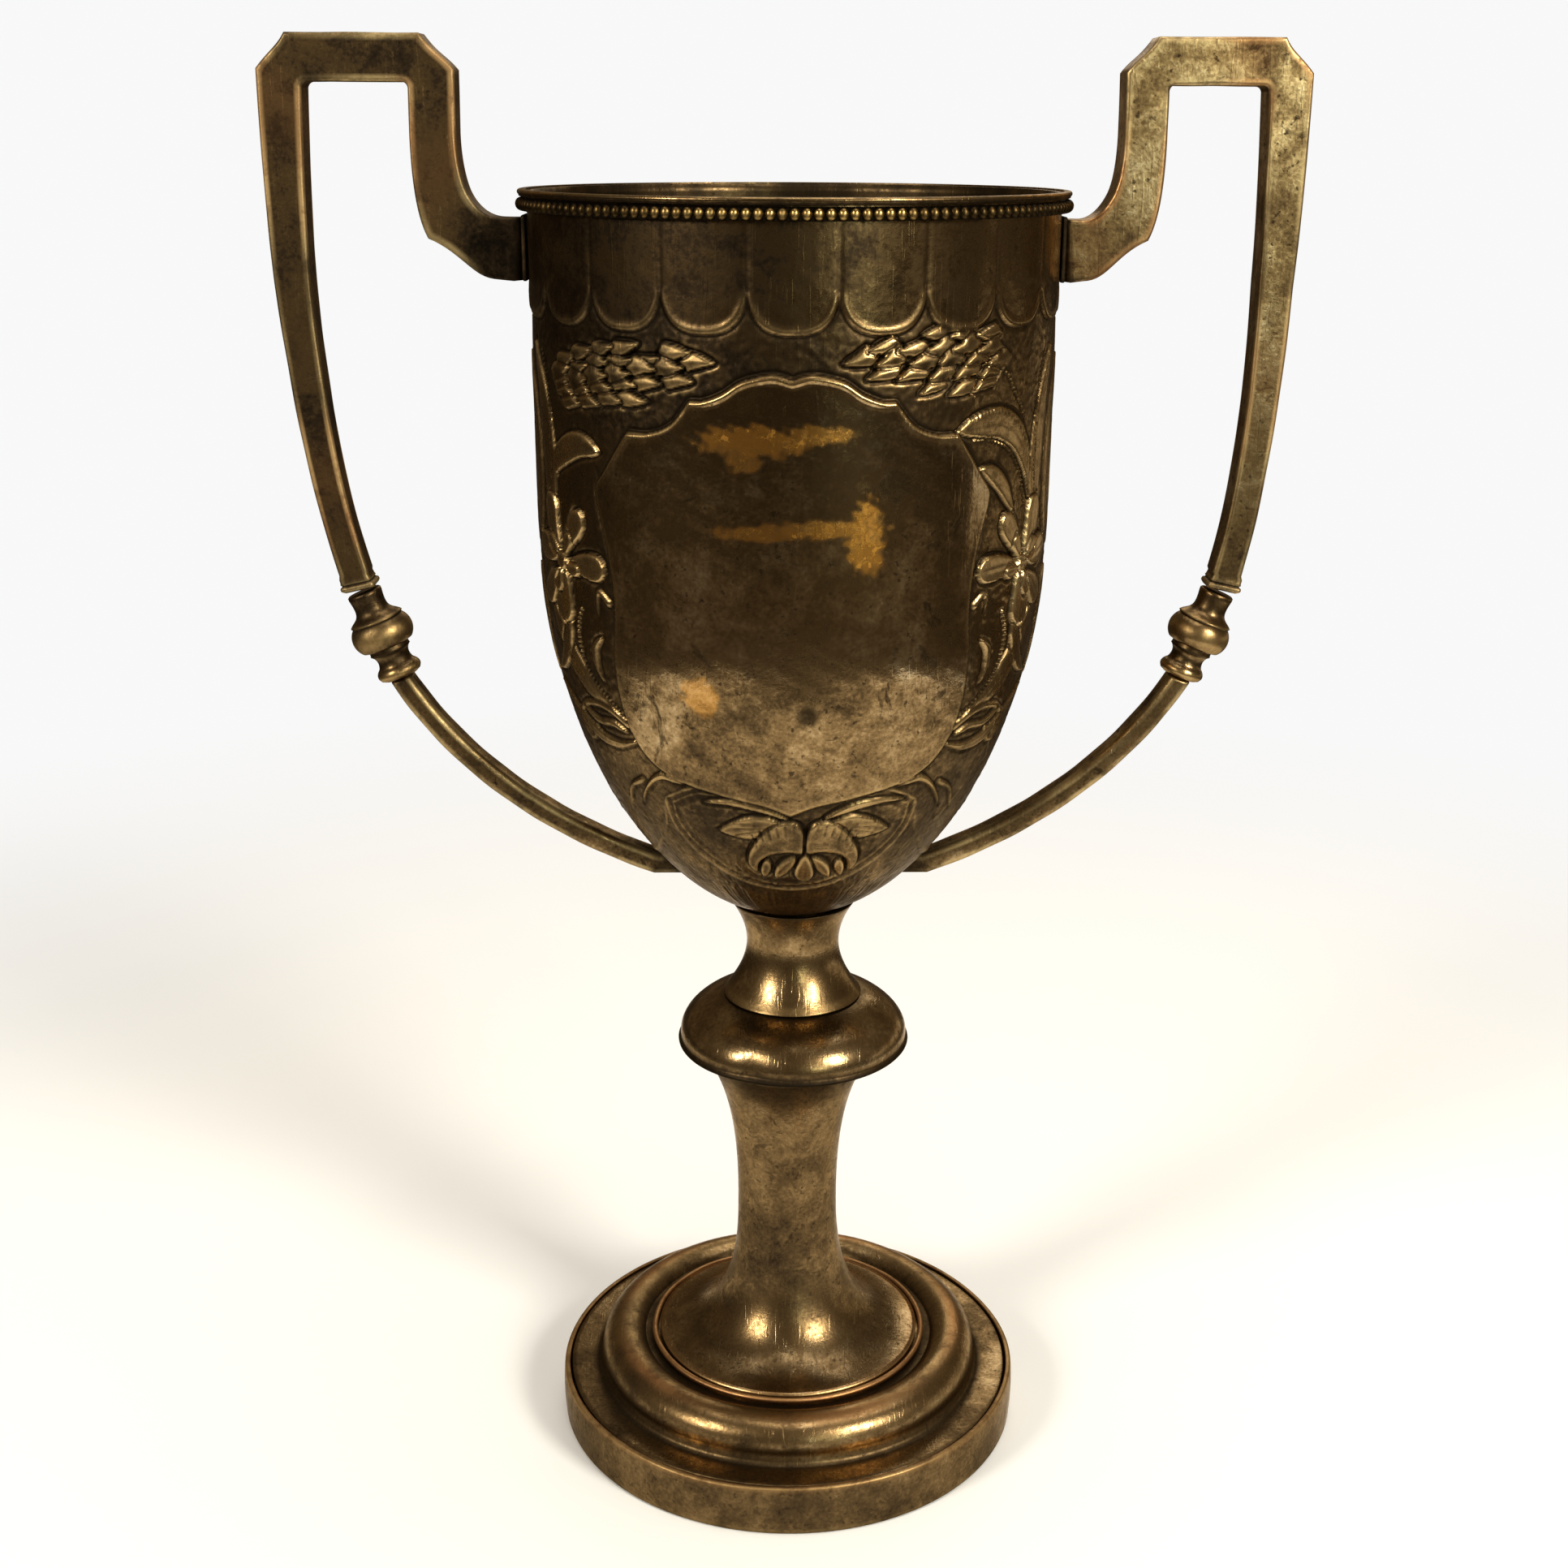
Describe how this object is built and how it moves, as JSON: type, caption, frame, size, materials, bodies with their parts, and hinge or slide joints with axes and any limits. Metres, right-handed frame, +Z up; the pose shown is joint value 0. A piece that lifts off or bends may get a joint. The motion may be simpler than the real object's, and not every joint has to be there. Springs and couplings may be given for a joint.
{
  "type": "cup trophy",
  "caption": "Tall footed presentation cup with looped side handles, beaded mouth, chased bowl with a blank shield, knopped stem and stepped round foot.",
  "frame": {"origin": "on the table under the middle of the foot", "axes": "+Z up along the axis of the bowl, stem and foot; the handles stand to -X and +X; the side with the shield faces -Y"},
  "size_m": [0.1959, 0.1054, 0.2925],
  "materials": {
    "bowl_silver": "silver plate on brass, dark tarnish in the chased hollows, worn warm on the high spots",
    "handle_silver": "worn and tarnished silver plate on cast brass",
    "stem_silver": "worn silver plate on spun brass, soft polish",
    "foot_silver": "worn silver plate on spun brass, dents and fine scratches",
    "bare_brass": "bare rubbed brass with dark hollows",
    "copper_wire": "plate worn through to a coppery edge",
    "steel_fastening": "dull steel"
  },
  "bodies": {
    "root": {"cup_bowl": "bowl_silver", "rim_lip_ring": "bowl_silver", "rim_bead_wire": "bare_brass", "stem_collar": "stem_silver", "stem_knop": "stem_silver", "stem_column": "stem_silver", "column_edge_wire": "copper_wire", "foot_dome": "foot_silver", "foot_band": "foot_silver", "bowl_boss": "bare_brass", "tie_rod": "steel_fastening", "tie_washer": "steel_fastening", "tie_nut": "steel_fastening", "handle_left_pad": "handle_silver", "handle_left_strap": "handle_silver", "handle_left_knop": "handle_silver", "handle_left_tail": "handle_silver", "handle_right_pad": "handle_silver", "handle_right_strap": "handle_silver", "handle_right_knop": "handle_silver", "handle_right_tail": "handle_silver"}
  },
  "joints": []
}
